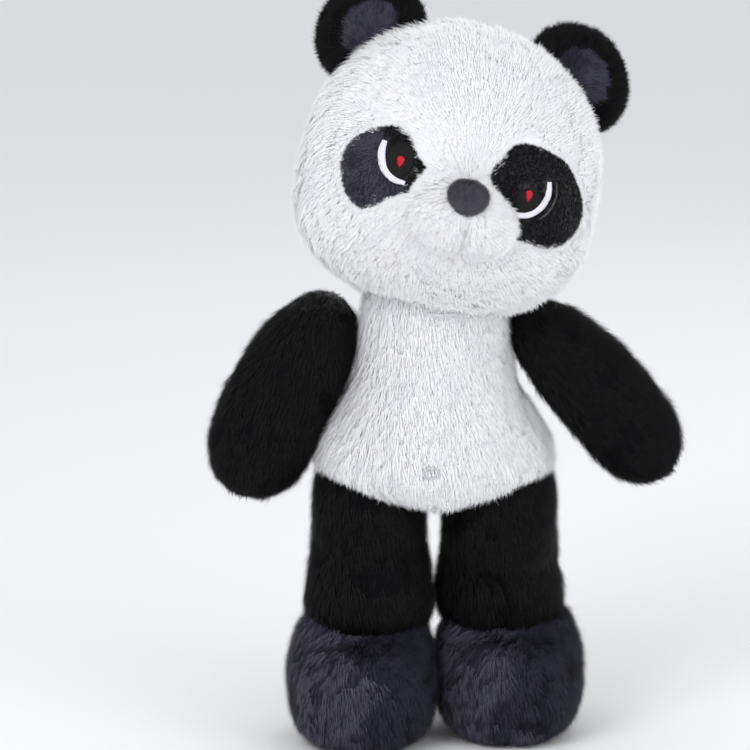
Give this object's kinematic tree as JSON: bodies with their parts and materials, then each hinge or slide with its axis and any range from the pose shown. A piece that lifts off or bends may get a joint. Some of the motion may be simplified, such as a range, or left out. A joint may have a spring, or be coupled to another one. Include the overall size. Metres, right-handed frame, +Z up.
{
  "type": "stuffed panda toy",
  "caption": "A standing plush panda with a turning and nodding head, bending ears, swinging arms and legs, and padded feet that flex at the ankle.",
  "frame": {"origin": "on the floor under the middle of the toy", "axes": "+Z up, the panda faces -Y, and +X is towards its own left"},
  "size_m": [0.291, 0.209, 0.4945],
  "materials": {
    "stuffing": "loose polyester fibre",
    "white_plush": "short dense fur, matte",
    "black_plush": "short dense fur, soft sheen",
    "inner_ear_plush": "short fur, matte",
    "grey_plush": "brushed fur, soft sheen",
    "nose_plush": "very short pile, matte",
    "eye_patch_plush": "short fur, matte",
    "iris_thread": "satin embroidery",
    "white_thread": "satin embroidery",
    "red_thread": "satin embroidery",
    "seam_thread": "matte thread"
  },
  "bodies": {
    "torso": {"torso_front": "white_plush", "torso_back": "white_plush", "torso_stuffing": "stuffing", "navel_stitching": "seam_thread"},
    "neck": {"neck_stitching": "seam_thread"},
    "head": {"head_front": "white_plush", "head_back": "white_plush", "head_stuffing": "stuffing", "muzzle": "white_plush", "nose": "nose_plush", "eye_patch_left": "eye_patch_plush", "eye_patch_right": "eye_patch_plush", "iris_left": "iris_thread", "iris_right": "iris_thread", "eye_white_left": "white_thread", "eye_white_right": "white_thread", "eye_glint_left": "red_thread", "eye_glint_right": "red_thread"},
    "ear_left": {"ear_back_left": "black_plush", "ear_front_left": "inner_ear_plush", "ear_stuffing_left": "stuffing"},
    "arm_left": {"arm_front_left": "black_plush", "arm_back_left": "black_plush", "arm_stuffing_left": "stuffing"},
    "leg_left": {"leg_outer_left": "black_plush", "leg_inner_left": "black_plush", "leg_stuffing_left": "stuffing"},
    "foot_left": {"foot_outer_left": "grey_plush", "foot_inner_left": "grey_plush", "sole_left": "grey_plush", "foot_stuffing_left": "stuffing"},
    "ear_right": {"ear_back_right": "black_plush", "ear_front_right": "inner_ear_plush", "ear_stuffing_right": "stuffing"},
    "arm_right": {"arm_front_right": "black_plush", "arm_back_right": "black_plush", "arm_stuffing_right": "stuffing"},
    "leg_right": {"leg_outer_right": "black_plush", "leg_inner_right": "black_plush", "leg_stuffing_right": "stuffing"},
    "foot_right": {"foot_outer_right": "grey_plush", "foot_inner_right": "grey_plush", "sole_right": "grey_plush", "foot_stuffing_right": "stuffing"}
  },
  "joints": [
    {"name": "head_turn", "type": "hinge", "parent": "torso", "child": "neck", "pos_m": [-0.00888, 0.01051, 0.28215], "axis": [0, 0, 1], "range_deg": [-60, 60]},
    {"name": "head_nod", "type": "hinge", "parent": "neck", "child": "head", "pos_m": [-0.00888, 0.01051, 0.28215], "axis": [-1, 0, 0], "range_deg": [-12, 18]},
    {"name": "ear_bend_left", "type": "hinge", "parent": "head", "child": "ear_left", "pos_m": [0.08261, 0.03737, 0.42514], "axis": [0.5116, -0.0516, -0.8577], "range_deg": [-20, 15], "stiffness_Nm_per_rad": 0.03},
    {"name": "ear_bend_right", "type": "hinge", "parent": "head", "child": "ear_right", "pos_m": [-0.05275, 0.02271, 0.45889], "axis": [0.829, 0.1968, 0.5234], "range_deg": [-20, 15], "stiffness_Nm_per_rad": 0.03},
    {"name": "arm_swing_left", "type": "hinge", "parent": "torso", "child": "arm_left", "pos_m": [0.04982, 0.01051, 0.2489], "axis": [-0.9563, 0, -0.2924], "range_deg": [-50, 80]},
    {"name": "arm_swing_right", "type": "hinge", "parent": "torso", "child": "arm_right", "pos_m": [-0.06759, 0.01051, 0.2489], "axis": [-0.9563, 0, 0.2924], "range_deg": [-50, 80]},
    {"name": "leg_swing_left", "type": "hinge", "parent": "torso", "child": "leg_left", "pos_m": [0.03412, 0.01051, 0.15015], "axis": [-1, 0, 0], "range_deg": [-20, 68]},
    {"name": "leg_swing_right", "type": "hinge", "parent": "torso", "child": "leg_right", "pos_m": [-0.05188, 0.01051, 0.15015], "axis": [-1, 0, 0], "range_deg": [-40, 48]},
    {"name": "foot_flex_left", "type": "hinge", "parent": "leg_left", "child": "foot_left", "pos_m": [0.03412, 0.02023, 0.095], "axis": [-1, 0, 0], "range_deg": [-12, 12]},
    {"name": "foot_flex_right", "type": "hinge", "parent": "leg_right", "child": "foot_right", "pos_m": [-0.05188, 0.00079, 0.095], "axis": [-1, 0, 0], "range_deg": [-12, 12]}
  ]
}
